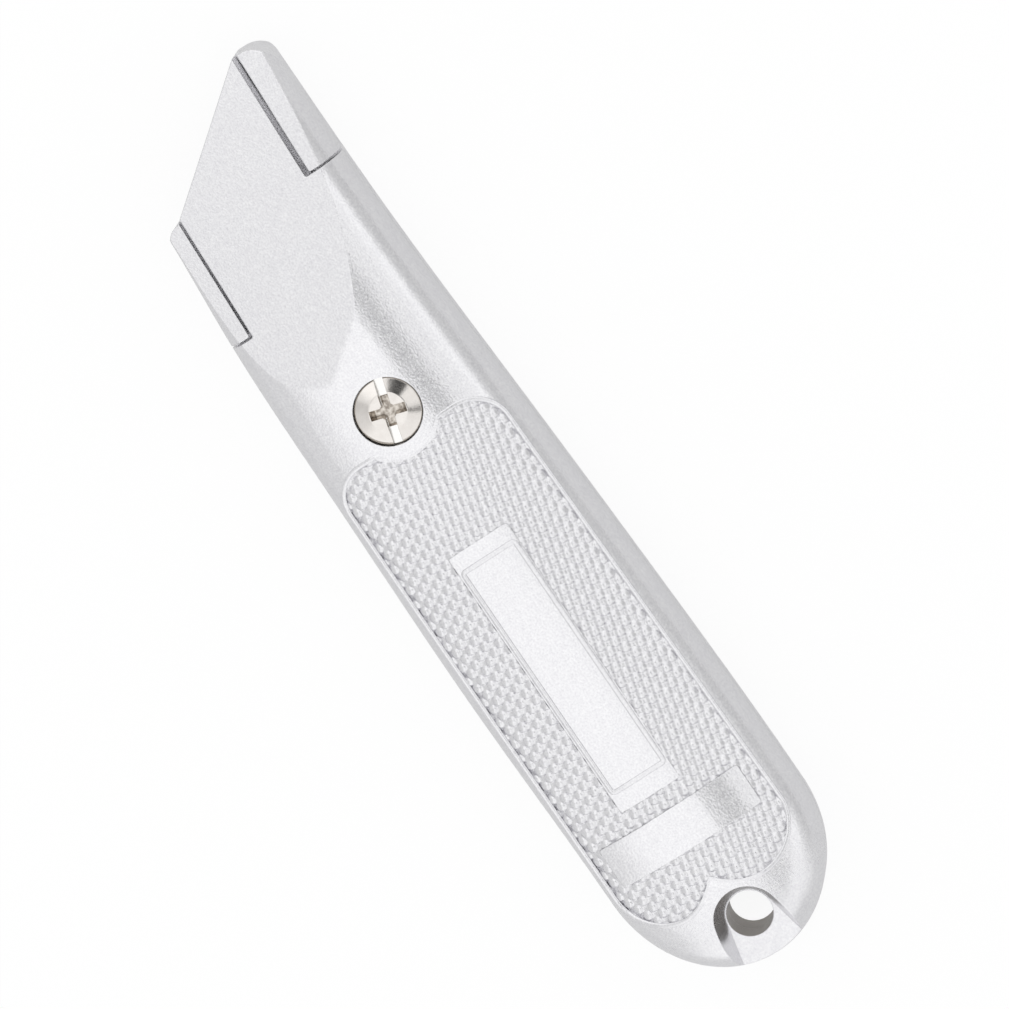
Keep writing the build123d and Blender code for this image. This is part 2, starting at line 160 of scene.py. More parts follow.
def bulge(a, b, radius):
    """The short arc from a to b that bulges to the left of the way from a to b."""
    ax, ay = a
    bx, by = b
    chord = hypot(bx - ax, by - ay)
    height = sqrt(radius**2 - (chord / 2) ** 2)
    nx, ny = (by - ay) / chord, -(bx - ax) / chord
    centre = ((ax + bx) / 2 + nx * height, (ay + by) / 2 + ny * height)
    start = atan2(ay - centre[1], ax - centre[0])
    sweep = atan2(by - centre[1], bx - centre[0]) - start
    sweep = (sweep + pi) % (2 * pi) - pi
    return arc_points(centre, radius, start, sweep)


def straight(a, b, step=0.8):
    """Points along a line, both ends included."""
    count = max(1, int(hypot(b[0] - a[0], b[1] - a[1]) / step))
    return [(a[0] + (b[0] - a[0]) * i / count, a[1] + (b[1] - a[1]) * i / count) for i in range(count + 1)]


def joined(*runs):
    """Runs of points end to end, without the points that they share."""
    points = []
    for run in runs:
        for p in run:
            if not points or hypot(p[0] - points[-1][0], p[1] - points[-1][1]) > SAME_POINT:
                points.append(p)
    if hypot(points[0][0] - points[-1][0], points[0][1] - points[-1][1]) < SAME_POINT:
        points.pop()
    return points


def rounded_rectangle(x, y, length, width, radius):
    """A rectangle's outline with round corners, anticlockwise."""
    half_x, half_y = length / 2 - radius, width / 2 - radius
    runs = []
    for turn, (sx, sy) in enumerate([(1, 1), (-1, 1), (-1, -1), (1, -1)]):
        runs.append(arc_points((x + sx * half_x, y + sy * half_y), radius, turn * pi / 2, pi / 2, step=0.15))
    return joined(*runs)


def panel_outline():
    """The grip panel's edge, clockwise from the screw's land."""
    root = sqrt(SCREW_LAND_RADIUS**2 - (PANEL_NOSE_X - SCREW_X) ** 2)
    upper_root = (PANEL_NOSE_X, SCREW_Y + root)
    lower_root = (PANEL_NOSE_X, SCREW_Y - root)
    spread = atan2(root, PANEL_NOSE_X - SCREW_X)
    corner = PANEL_CORNER_RADIUS
    corner_x = PANEL_NOSE_X + corner
    upper_tail = (PANEL_TAIL_X, PANEL_TAIL_TOP)
    lower_tail = (PANEL_TAIL_X, -PANEL_TAIL_BOTTOM)
    upper_lobe = (PANEL_LOBE_X, PANEL_LOBE_TOP)
    lower_lobe = (PANEL_LOBE_X, -PANEL_LOBE_BOTTOM)
    cusp = (PANEL_CUSP_X, PANEL_CUSP_Y)
    return joined(
        arc_points((SCREW_X, SCREW_Y), SCREW_LAND_RADIUS, -spread, 2 * spread),
        straight(upper_root, (PANEL_NOSE_X, PANEL_NOSE_TOP - corner)),
        arc_points((corner_x, PANEL_NOSE_TOP - corner), corner, pi, -pi / 2),
        straight((corner_x, PANEL_NOSE_TOP), upper_tail),
        bulge(upper_tail, upper_lobe, PANEL_LOBE_RADIUS),
        bulge(upper_lobe, cusp, PANEL_CUSP_RADIUS),
        bulge(cusp, lower_lobe, PANEL_CUSP_RADIUS),
        bulge(lower_lobe, lower_tail, PANEL_LOBE_RADIUS),
        straight(lower_tail, (corner_x, -PANEL_NOSE_BOTTOM)),
        arc_points((corner_x, corner - PANEL_NOSE_BOTTOM), corner, -pi / 2, -pi / 2),
        straight((PANEL_NOSE_X, corner - PANEL_NOSE_BOTTOM), lower_root),
    )


def refined(outline, step):
    """A closed outline with points at most about a step apart."""
    return joined(*[straight(a, b, step) for a, b in zip(outline, outline[1:] + outline[:1])])


def offset(points, distance):
    """A clockwise outline moved to its right, which is inwards, by distance."""
    moved = []
    count = len(points)
    for i, (x, y) in enumerate(points):
        ax, ay = points[i - 1]
        bx, by = points[(i + 1) % count]
        length = hypot(bx - ax, by - ay)
        moved.append((x + (by - ay) / length * distance, y - (bx - ax) / length * distance))
    return moved


def inside(points, outline):
    """Which of the points, an n by 2 array, lie inside a closed outline."""
    x, y = points[:, 0], points[:, 1]
    result = np.zeros(len(points), bool)
    for (ax, ay), (bx, by) in zip(outline, outline[1:] + outline[:1]):
        crosses = (ay > y) != (by > y)
        if ay != by:
            result ^= crosses & (x < (bx - ax) * (y - ay) / (by - ay) + ax)
    return result


def mesh_object(name, vertices, faces, body, material, sharp_deg=50):
    """A new mesh piece that rides on a body, smooth but for edges sharper than sharp_deg."""
    mesh = bpy.data.meshes.new(name)
    mesh.from_pydata([tuple(v) for v in vertices], [], faces)
    mesh.validate()
    work = bmesh.new()
    work.from_mesh(mesh)
    bmesh.ops.recalc_face_normals(work, faces=work.faces)
    work.to_mesh(mesh)
    work.free()
    mesh.shade_smooth()
    mesh.set_sharp_from_angle(angle=radians(sharp_deg))
    piece = bpy.data.objects.new(name, mesh)
    scene.collection.objects.link(piece)
    mesh.materials.append(material)
    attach(piece, body)
    return piece


# ======================================================================================
# The surface of a shell
# ======================================================================================
class ShellFace:
    """The outside of a shell, as heights over the parting plane. Its side is 1 in front and -1 behind."""

    def __init__(self, node, side):
        self.side = side
        self.tree = BVHTree.FromObject(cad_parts[node], bpy.context.evaluated_depsgraph_get())

    def height(self, x, y):
        """The height in mm of the surface at x, y, or None past the handle's edge."""
        reach = 2 * HALF_THICKNESS
        hit, _, _, _ = self.tree.ray_cast(at(x, y, self.side * reach), Vector((0, 0, -self.side)))
        if hit is None:
            return None
        return self.side * (hit.z - parting_z) / MM


# ======================================================================================
# Materials
# ======================================================================================
# Colours are linear. Sizes, depths and radii are in mm.

# ---- silver lacquer ----
SILVER = (0.80, 0.797, 0.815)
# painted shade: the studs', bead's and frame's copy of the silver is a little darker, standing for the shade
# among the studs
STUD_SHADED_SILVER = (0.775, 0.772, 0.79)
DARK_FLAKE, LIGHT_FLAKE = (0.84, 0.835, 0.855), (1.16, 1.165, 1.145)  # times the silver
FLAKE_SIZE, CLOUD_SIZE, MOTTLE_SIZE = 0.31, 0.85, 5.0
FLAKE_SHARE, CLOUD_SHARE, MOTTLE_SHARE = 0.85, 0.30, 0.10  # of the way from dark to light
FLAKE_START = 0.15  # the flakes' noise seldom falls under this
FLAKE_DEPTH = 0.10
FLAKE_ROUGHNESS = 0.08  # how much the roughness varies with the flakes
RUBBED_FROM, RUBBED_TO = HANDLE_LENGTH - 18, HANDLE_LENGTH - 6  # it turns duller between these
RUBBED_ROUGHER = 0.11
# painted shade: dark brown for the upright walls of the lanyard hole and the counterbore
BORE_SHADE_DARK, BORE_SHADE_LIGHT = (0.34, 0.31, 0.28, 1.0), (0.50, 0.47, 0.43, 1.0)
LEVEL_OVER = 0.9996  # a face is level where its normal's upright part is over this
UPRIGHT_UNDER = 0.2  # and upright where it is under this
BORE_MARGIN = 0.1  # past a bore's radius, for its wall to be inside
FACET_END_INNER, FACET_END_OUTER = 6.5, 9.5  # radii between which the facet's soft end fades out
BORE_CLEAR_INNER, BORE_CLEAR_OUTER = COUNTERBORE_RADIUS + 0.7, COUNTERBORE_RADIUS + 1.7
FACET_BLEND = 1.6  # radius that blends the facet's end into the crown

# ---- nickel plate, with painted shade in the recess and a painted highlight on its slot's floor ----
NICKEL_DARK, NICKEL_LIGHT = (0.68, 0.645, 0.61, 1.0), (0.82, 0.79, 0.76, 1.0)
# painted shade and dark reflection for the recess's walls and the cross's deep floor
RECESS_SHADE_DARK, RECESS_SHADE_LIGHT = (0.20, 0.165, 0.13, 1.0), (0.64, 0.59, 0.53, 1.0)
# painted highlight: the slot's floor is whiter than the plate
SLOT_FLOOR_HIGHLIGHT = (0.86, 0.85, 0.835, 1.0)
HAZE_SIZE, MARK_SIZE, BLOTCH_SIZE = 1.1, 0.16, 0.55
BLOTCH_CONTRAST = 3.0
RECESS_SHADE_COVER = 0.90
WALL_UNDER = 0.5  # a face of the recess is a wall where its normal's upright part is under this
NICKEL_ROUGHNESS, HAZE_ROUGHNESS = 0.06, 0.10

# ---- ground steel ----
STEEL_DARK, STEEL_LIGHT = (0.42, 0.43, 0.44, 1.0), (0.62, 0.63, 0.64, 1.0)
GRINDING_STRETCH = (40.0, 900.0, 900.0)  # the lines run along the blade
STEEL_ROUGHNESS, LINE_ROUGHNESS = 0.18, 0.25


class Nodes:
    """Short calls to add and link shader nodes in a material or the world."""

    def __init__(self, owner, output):
        owner.use_nodes = True
        self.owner = owner
        self.tree = owner.node_tree
        self.tree.nodes.clear()
        self.output = self.add(output)

    def add(self, kind):
        return self.tree.nodes.new("ShaderNode" + kind)

    def link(self, source, target):
        self.tree.links.new(source, target)

    def feed(self, socket, value):
        """Links an output to a socket, or sets the socket to a plain value."""
        if isinstance(value, bpy.types.NodeSocket):
            self.link(value, socket)
        else:
            socket.default_value = value

    def maths(self, operation, a, b=0.0):
        node = self.add("Math")
        node.operation = operation
        self.feed(node.inputs[0], a)
        self.feed(node.inputs[1], b)
        return node.outputs[0]

    def vector(self, operation, a, b=(0, 0, 0)):
        node = self.add("VectorMath")
        node.operation = operation
        self.feed(node.inputs[0], a)
        self.feed(node.inputs[1], b)
        return node.outputs["Value" if operation in ("DOT_PRODUCT", "LENGTH") else "Vector"]

    def mix(self, factor, a, b, kind="RGBA"):
        """Between a and b, which are colours or, where kind is VECTOR, normals."""
        node = self.add("Mix")
        node.data_type = kind
        first, result = {"RGBA": (6, 2), "VECTOR": (4, 1)}[kind]  # the sockets of that kind
        self.feed(node.inputs[0], factor)
        self.feed(node.inputs[first], a)
        self.feed(node.inputs[first + 1], b)
        return node.outputs[result]

    def ramp(self, value, low, high, top=1.0, smooth=False):
        """0 where the value is low, growing to top where it is high."""
        node = self.add("MapRange")
        node.interpolation_type = "SMOOTHSTEP" if smooth else "LINEAR"
        node.inputs["From Min"].default_value = low
        node.inputs["From Max"].default_value = high
        node.inputs["To Max"].default_value = top
        self.link(value, node.inputs["Value"])
        return node.outputs["Result"]

    def place(self):
        """Where a point lies in the row frame, in metres."""
        return self.add("TexCoord").outputs["Object"]

    def parts(self, vector):
        node = self.add("SeparateXYZ")
        self.link(vector, node.inputs[0])
        return node.outputs

    def facing(self):
        """The three parts of the surface's normal."""
        return self.parts(self.add("NewGeometry").outputs["Normal"])

    def reach(self, x, y):
        """How far a point lies, in plan, from x, y of the drawing frame, in metres."""
        from_axis = self.vector("SUBTRACT", self.place(), at(x, y, 0))
        return self.vector("LENGTH", self.vector("MULTIPLY", from_axis, (1, 1, 0)))

    def noise(self, size_mm, detail=2.0):
        """Noise from 0 to 1 with features of about size_mm, fixed to the piece."""
        texture = self.add("TexNoise")
        texture.inputs["Scale"].default_value = 1 / (size_mm * MM)
        texture.inputs["Detail"].default_value = detail
        self.link(self.place(), texture.inputs["Vector"])
        return texture.outputs["Fac"]

    def soft_edges(self, radius_mm, samples):
        """The normal, turned near edges as if they were rounded."""
        node = self.add("Bevel")
        node.samples = samples
        node.inputs["Radius"].default_value = radius_mm * MM
        return node.outputs["Normal"]

    def bump(self, strength, depth_mm, height):
        node = self.add("Bump")
        node.inputs["Strength"].default_value = strength
        node.inputs["Distance"].default_value = depth_mm * MM
        self.link(height, node.inputs["Height"])
        return node

    def surface(self, shader):
        self.link(shader.outputs[0], self.output.inputs["Surface"])
        return self.owner


def material_nodes(name):
    return Nodes(bpy.data.materials.new(name), "OutputMaterial")


def crown_normal(n):
    """The normal of the crowned face carried on over its flat crest land, and where to use it.

    The land is polished into the crown, so no crease shows between them.
    """
    across_crest = Vector((-sin(CREST_TURN), cos(CREST_TURN), 0))
    from_crest = n.vector("SUBTRACT", n.place(), at(SCREW_X, SCREW_Y, 0))
    slope = n.vector("DOT_PRODUCT", from_crest, across_crest / (CROWN_RADIUS * MM))
    facing = n.facing()
    tilt = n.add("CombineXYZ")
    n.link(n.maths("MULTIPLY", slope, across_crest.x), tilt.inputs[0])
    n.link(n.maths("MULTIPLY", slope, across_crest.y), tilt.inputs[1])
    n.link(facing[2], tilt.inputs[2])
    normal = n.vector("NORMALIZE", tilt.outputs[0])
    level = n.maths("GREATER_THAN", n.maths("ABSOLUTE", facing[2]), LEVEL_OVER)
    height = n.maths("ABSOLUTE", n.parts(from_crest)[2])
    outermost = n.maths("GREATER_THAN", height, (HALF_THICKNESS - LAND_DEPTH) * MM)
    return normal, n.maths("MULTIPLY", level, outermost)


def bore_shade_mask(n):
    """1 on the upright walls of the lanyard hole and the screw's counterbore, where dark shade is painted.
    """
    upright = n.maths("LESS_THAN", n.maths("ABSOLUTE", n.facing()[2]), UPRIGHT_UNDER)
    near = [
        n.maths("LESS_THAN", n.reach(x, y), (radius + BORE_MARGIN) * MM)
        for x, y, radius in ((EYE_X, EYE_Y, EYE_RADIUS), (SCREW_X, SCREW_Y, COUNTERBORE_RADIUS))
    ]
    return n.maths("MULTIPLY", upright, n.maths("MAXIMUM", *near))


def facet_end(n):
    """1 over the tail end of the nose's facet, falling to 0 round it and at the counterbore."""
    over_end = n.ramp(n.reach(FACET_END_X, FACET_END_Y), FACET_END_OUTER * MM, FACET_END_INNER * MM)
    off_bore = n.ramp(n.reach(SCREW_X, SCREW_Y), BORE_CLEAR_INNER * MM, BORE_CLEAR_OUTER * MM)
    return n.maths("MULTIPLY", over_end, off_bore)


def silver_lacquer(name, base=SILVER, rough=0.195, edge_mm=0.25, grain=0.20, crowned=True):
    """Silver lacquer over a zinc casting: fine metallic grain, faint mottling, slightly soft edges.

    A crowned one is for the shells, and knows their crest land, the nose's facet and their bores, whose
    upright walls get painted shade.
    """
    n = material_nodes(name)
    shader = n.add("BsdfPrincipled")
    shader.inputs["Metallic"].default_value = 0.92
    shader.inputs["IOR"].default_value = 1.5
    flakes = n.noise(FLAKE_SIZE, detail=1.0)
    clouds = n.noise(CLOUD_SIZE, detail=1.0)
    mottle = n.noise(MOTTLE_SIZE)
    shade = n.maths("MULTIPLY", n.maths("SUBTRACT", flakes, FLAKE_START), FLAKE_SHARE)
    for pattern, share in ((clouds, CLOUD_SHARE), (mottle, MOTTLE_SHARE)):
        shade = n.maths("ADD", shade, n.maths("MULTIPLY", pattern, share))
    dark, light = [tuple(b * t for b, t in zip(base, tint)) + (1.0,) for tint in (DARK_FLAKE, LIGHT_FLAKE)]
    paint = n.mix(shade, dark, light)
    if crowned:
        # painted shade on the bores' upright walls
        paint = n.mix(bore_shade_mask(n), paint, n.mix(mottle, BORE_SHADE_DARK, BORE_SHADE_LIGHT))
    n.link(paint, shader.inputs["Base Color"])
    wobble = n.maths("MULTIPLY", n.maths("SUBTRACT", flakes, 0.5), FLAKE_ROUGHNESS)
    rubbed = n.ramp(n.parts(n.place())[0], at(RUBBED_FROM, 0, 0).x, at(RUBBED_TO, 0, 0).x, RUBBED_ROUGHER)
    n.link(n.maths("ADD", n.maths("ADD", wobble, rough), rubbed), shader.inputs["Roughness"])
    bump = n.bump(grain, FLAKE_DEPTH, flakes)
    if edge_mm:
        normal = n.soft_edges(edge_mm, samples=6)
        if crowned:
            crown, share = crown_normal(n)
            normal = n.mix(share, normal, crown, kind="VECTOR")
            normal = n.mix(facet_end(n), normal, n.soft_edges(FACET_BLEND, samples=8), kind="VECTOR")
        n.link(normal, bump.inputs["Normal"])
    n.link(bump.outputs["Normal"], shader.inputs["Normal"])
    return n.surface(shader)


def nickel(name):
    """Bright nickel plate with a warm cast and fine handling marks, blotchy painted shade and dark
    reflection on the recess's walls and deep floor, and a painted highlight on the slot's floor.
    """
    n = material_nodes(name)
    shader = n.add("BsdfPrincipled")
    shader.inputs["Metallic"].default_value = 1.0
    haze = n.noise(HAZE_SIZE, detail=4.0)
    marks = n.noise(MARK_SIZE, detail=3.0)
    plate = n.mix(haze, NICKEL_DARK, NICKEL_LIGHT)
    blotches = n.maths("SUBTRACT", n.maths("MULTIPLY", n.noise(BLOTCH_SIZE), BLOTCH_CONTRAST), 1.0)
    recess_shade = n.mix(blotches, RECESS_SHADE_DARK, RECESS_SHADE_LIGHT)
    depth = n.parts(n.vector("SUBTRACT", n.place(), at(SCREW_X, SCREW_Y, HALF_THICKNESS)))[2]
    in_recess = n.maths("LESS_THAN", n.reach(SCREW_X, SCREW_Y), RECESS_REACH * MM)
    wall = n.maths("LESS_THAN", n.facing()[2], WALL_UNDER)
    deep = n.maths("LESS_THAN", depth, -RECESS_DEEP * MM)
    # painted shade: the recess's walls and the cross's deep floor turn dark brown in blotches
    shaded_in_recess = n.maths("MULTIPLY", n.maths("MAXIMUM", wall, deep), in_recess)
    # painted highlight on the slot's floor
    slot_highlight_mask = n.maths("LESS_THAN", depth, -SLOT_FLOOR * MM)
    plate_and_slot_highlight = n.mix(slot_highlight_mask, plate, SLOT_FLOOR_HIGHLIGHT)
    n.link(n.mix(n.maths("MULTIPLY", shaded_in_recess, RECESS_SHADE_COVER), plate_and_slot_highlight, recess_shade), shader.inputs["Base Color"])
    roughness = n.maths("ADD", n.maths("MULTIPLY", haze, HAZE_ROUGHNESS), NICKEL_ROUGHNESS)
    n.link(roughness, shader.inputs["Roughness"])
    bump = n.bump(strength=0.10, depth_mm=0.03, height=marks)
    n.link(n.soft_edges(radius_mm=0.12, samples=6), bump.inputs["Normal"])
    n.link(bump.outputs["Normal"], shader.inputs["Normal"])
    return n.surface(shader)


def ground_steel(name):
    """Blade steel with fine grinding lines along the blade."""
    n = material_nodes(name)
    shader = n.add("BsdfPrincipled")
    shader.inputs["Metallic"].default_value = 1.0
    stretch = n.add("Mapping")
    stretch.inputs["Scale"].default_value = GRINDING_STRETCH
    n.link(n.place(), stretch.inputs["Vector"])
    texture = n.add("TexNoise")
    texture.inputs["Scale"].default_value = 4.0
    texture.inputs["Detail"].default_value = 4.0
    n.link(stretch.outputs["Vector"], texture.inputs["Vector"])
    lines = texture.outputs["Fac"]
    n.link(n.mix(lines, STEEL_DARK, STEEL_LIGHT), shader.inputs["Base Color"])
    roughness = n.maths("ADD", n.maths("MULTIPLY", lines, LINE_ROUGHNESS), STEEL_ROUGHNESS)
    n.link(roughness, shader.inputs["Roughness"])
    bump = n.bump(strength=0.15, depth_mm=0.02, height=lines)
    n.link(bump.outputs["Normal"], shader.inputs["Normal"])
    return n.surface(shader)


lacquer = silver_lacquer("silver_lacquer")
# a darker copy of the shells' lacquer, with painted shade in its colour
stud_lacquer = silver_lacquer(
    "stud_lacquer", base=STUD_SHADED_SILVER, rough=0.25, edge_mm=0.0, grain=0.10, crowned=False
)
plating = nickel("nickel_plate")
steel = ground_steel("ground_steel")


def dress(node, material):
    """Gives a CAD node its finish."""
    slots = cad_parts[node].data.materials
    if len(slots) == 0:
        slots.append(material)
    for i in range(len(slots)):
        slots[i] = material


dress("front_shell", lacquer)
dress("rear_shell", lacquer)
dress("clamp_screw", plating)
for number in (1, 2, 3):
    dress(f"spare_blade_{number}", steel)


# ======================================================================================
# Studs, bead and frame of the grip panels
# ======================================================================================
def stud_axes():
    """The two wave vectors of the stud lattice, in cycles per mm."""
    row, file = radians(STUD_ROW_TURN), radians(STUD_FILE_TURN)
    pitches = np.array([[STUD_ROW_PITCH], [STUD_FILE_PITCH]])
    return np.array([[cos(row), sin(row)], [sin(file), -cos(file)]]) / pitches


def stud_rise(points):
    """Height of the studs over the panel's floor at each point of an n by 2 array."""
    phase = points @ stud_axes().T + STUD_PHASE
    local = np.abs(phase - np.round(phase)) * 2
    reach = (local**STUD_SQUARENESS).sum(1) ** (1 / STUD_SQUARENESS)
    return STUD_HEIGHT * np.clip(1 - reach**STUD_POINT, 0, None)


def grown_rectangle(x, y, length, width, grow):
    """The outline of a land, moved out by grow."""
    return rounded_rectangle(x, y, length + 2 * grow, width + 2 * grow, LAND_CORNER + grow)


def field_outlines(clear):
    """The stud field's outer edge and its two holes, each kept clear of the recess's walls."""
    bar_y, bar_length = (BAR_TOP - BAR_BOTTOM) / 2, BAR_TOP + BAR_BOTTOM
    return [
        offset(panel_outline(), clear + BEAD_FOOT),
        grown_rectangle(PLATE_X, PLATE_Y, PLATE_LENGTH, PLATE_WIDTH, clear),
        grown_rectangle(BAR_X, bar_y, BAR_WIDTH, bar_length, clear),
    ]


def within(points, outlines):
    """Which points lie inside the first outline and outside the others."""
    result = inside(points, outlines[0])
    for hole in outlines[1:]:
        result &= ~inside(points, hole)
    return result


def lattice_points():
    """Mesh points on the stud lattice over the whole panel."""
    axes = stud_axes()
    ends = (PANEL_NOSE_X - 1, PANEL_LOBE_X + 1)
    corners = np.array([(x, y) for x in ends for y in (-FIELD_HALF_WIDTH, FIELD_HALF_WIDTH)])
    low = np.floor((corners @ axes.T).min(0)).astype(int) * STUD_STEPS
    high = np.ceil((corners @ axes.T).max(0)).astype(int) * STUD_STEPS
    s, t = np.meshgrid(*[np.arange(low[i], high[i] + 1) / STUD_STEPS for i in (0, 1)])
    return (np.stack([s.ravel(), t.ravel()], 1) - STUD_PHASE) @ np.linalg.inv(axes).T


def closed_edges(loops):
    """The edges of closed loops of points that are numbered one after another."""
    edges, start = [], 0
    for loop in loops:
        edges += [(start + i, start + (i + 1) % len(loop)) for i in range(len(loop))]
        start += len(loop)
    return edges


def stud_field_plan():
    """The field's plan: points, triangles and outlines."""
    fine = [refined(loop, FIELD_EDGE_STEP) for loop in field_outlines(FIELD_GAP)]
    points = lattice_points()
    points = points[within(points, field_outlines(FIELD_GAP + FIELD_EDGE_CLEAR))]
    vertices = [Vector(p) for loop in fine for p in loop] + [Vector(p) for p in points]
    plan, _, faces, *_ = delaunay_2d_cdt(vertices, closed_edges(fine), [], 0, PLAN_TOLERANCE)
    plan = np.array([tuple(v) for v in plan])
    wanted = within(plan[np.array(faces)].mean(1), fine)
    return plan, [tuple(f) for f, w in zip(faces, wanted) if w], fine


def boundary(triangles):
    """The directed edges that only one triangle has."""
    seen = {}
    for f in triangles:
        for a, b in ((f[0], f[1]), (f[1], f[2]), (f[2], f[0])):
            key = (min(a, b), max(a, b))
            seen[key] = None if key in seen else (a, b)
    return [e for e in seen.values() if e]


def studs(name, face, body, plan, triangles, outlines):
    """The stud field as one closed piece: studs outside and a plain skin a little way into the casting."""
    heights = np.array([face.height(x, y) or 0.0 for x, y in plan])
    tops = np.minimum(heights + STUD_BASE + stud_rise(plan), HALF_THICKNESS - TOP_CLEARANCE)
    rim = boundary(triangles)
    number = {p: i for i, p in enumerate(sorted({p for e in rim for p in e}))}
    count = len(plan)
    vertices = [at(x, y, face.side * h) for (x, y), h in zip(plan, tops)]
    vertices += [at(*plan[p], face.side * (heights[p] - SKIN_DEPTH)) for p in number]
    faces = list(triangles) + [(b, a, count + number[a], count + number[b]) for a, b in rim]
    corners = [Vector(plan[p]) for p in number]
    edges = [(number[a], number[b]) for a, b in rim]
    flat, _, under, sources, *_ = delaunay_2d_cdt(corners, edges, [], 0, SKIN_TOLERANCE)
    middles = np.array([tuple(v) for v in flat])[np.array(under)].mean(1)
    for f, wanted in zip(under, within(middles, outlines)):
        if wanted:
            faces.append(tuple(count + sources[v][0] for v in reversed(f)))
    return mesh_object(name, vertices, faces, body, stud_lacquer)


def ridge(name, face, body, path, half_width, rise, root, height_at):
    """A rounded ridge along a closed path, as a ring of half-round sections with a flat foot.

    height_at gives the surface that it rises over, for a point and the unit vector to its left.
    The foot lies the root's depth under that surface.
    """
    count = len(path)
    sections = []
    for i, (x, y) in enumerate(path):
        (ax, ay), (bx, by) = path[i - 1], path[(i + 1) % count]
        length = hypot(bx - ax, by - ay)
        left = (-(by - ay) / length, (bx - ax) / length)
        base = height_at(x, y, left)
        section = []
        for k in range(RIDGE_STEPS + 1):
            turn = pi * k / RIDGE_STEPS
            reach, lift = half_width * cos(turn), rise * sin(turn)
            z = min(base + lift, HALF_THICKNESS - TOP_CLEARANCE)
            section.append((x + left[0] * reach, y + left[1] * reach, z))
        section += [(*section[end][:2], base - root) for end in (-1, 0)]
        sections.append([at(px, py, face.side * pz) for px, py, pz in section])
    size = len(sections[0])
    vertices = [v for section in sections for v in section]
    faces = []
    for i in range(count):
        j = (i + 1) % count
        for k in range(size):
            m = (k + 1) % size
            faces.append((i * size + k, i * size + m, j * size + m, j * size + k))
    return mesh_object(name, vertices, faces, body, stud_lacquer)


def panel_bead(name, face, body):
    """The bead that stands along the panel's edge, over the crowned face outside it."""

    def crown_beside(x, y, left):
        near = face.height(x + left[0] * BESIDE_BEAD, y + left[1] * BESIDE_BEAD)
        far = face.height(x + left[0] * 2 * BESIDE_BEAD, y + left[1] * 2 * BESIDE_BEAD)
        return 2 * near - far

    path = offset(panel_outline(), BEAD_INSET)
    return ridge(name, face, body, path, BEAD_HALF_WIDTH, BEAD_RISE, BEAD_ROOT, crown_beside)


def plate_frame(name, face, body):
    """The raised frame on the plate's land."""

    def land(x, y, left):
        return face.height(x, y)

    path = rounded_rectangle(FRAME_X, FRAME_Y, FRAME_LENGTH, FRAME_WIDTH, FRAME_CORNER)
    path = refined(path, FRAME_STEP)
    return ridge(name, face, body, path, FRAME_HALF_WIDTH, FRAME_RISE, FRAME_ROOT, land)


plan, triangles, field_edges = stud_field_plan()
for label, node, side in (("front", "front_shell", 1), ("rear", "rear_shell", -1)):
    shell_face = ShellFace(node, side)
    studs(f"{label}_studs", shell_face, label, plan, triangles, field_edges)
    panel_bead(f"{label}_panel_bead", shell_face, label)
    plate_frame(f"{label}_plate_frame", shell_face, label)


# ======================================================================================
# Camera
# ======================================================================================
VIEW_ACROSS = 145.2  # mm that the picture spans at the handle's mid height
LENS = 300.0
SENSOR = 36.0
ROLL = radians(55.77)  # of the handle's length from the picture's level
LOOKED_AT = (75.18, 3.695, -4.967)  # mm along the three directions below

back = Vector((-0.1287, 0.1804, 0.9751)).normalized()  # from the handle to the camera
along = Vector((0.99168, 0.02342, 0.12657))  # the handle's length as the camera sees it
across = Vector((0.0, 0.98331, -0.18191))
right = cos(ROLL) * along + sin(ROLL) * across
right = (right - back * right.dot(back)).normalized()
up = back.cross(right)
middle = at(*(LOOKED_AT[0] * along + LOOKED_AT[1] * across + LOOKED_AT[2] * back))

camera_data = bpy.data.cameras.new("camera")
camera_data.lens = LENS
camera_data.sensor_width = SENSOR
camera_data.clip_end = 10.0
camera = bpy.data.objects.new("camera", camera_data)
scene.collection.objects.link(camera)
distance = VIEW_ACROSS * MM * LENS / SENSOR
turn = Matrix((right, up, back)).transposed().to_4x4()
camera.matrix_world = Matrix.Translation(middle + back * distance) @ turn
bpy.context.scene.camera = camera

# ======================================================================================
# Studio
# ======================================================================================
scene.view_settings.view_transform = "Standard"

LAMP_DISTANCE = 0.9  # metres
LAMPS = (  # name, towards, size in metres, power in watts
    ("key", Vector((-0.6, -0.35, 0.75)), (0.5, 0.7), 0.15),
    ("fill", Vector((0.1, 0.75, 0.75)), (0.6, 0.25), 0.05),
)
for name, towards, size, power in LAMPS:
    towards = towards.normalized()
    light = bpy.data.lights.new(name, "AREA")
    light.shape = "RECTANGLE"
    light.size, light.size_y = size
    light.energy = power
    lamp = bpy.data.objects.new(name, light)
    scene.collection.objects.link(lamp)
    lamp.location = towards * LAMP_DISTANCE
    lamp.rotation_mode = "QUATERNION"
    lamp.rotation_quaternion = (-towards).to_track_quat("-Z", "Y")

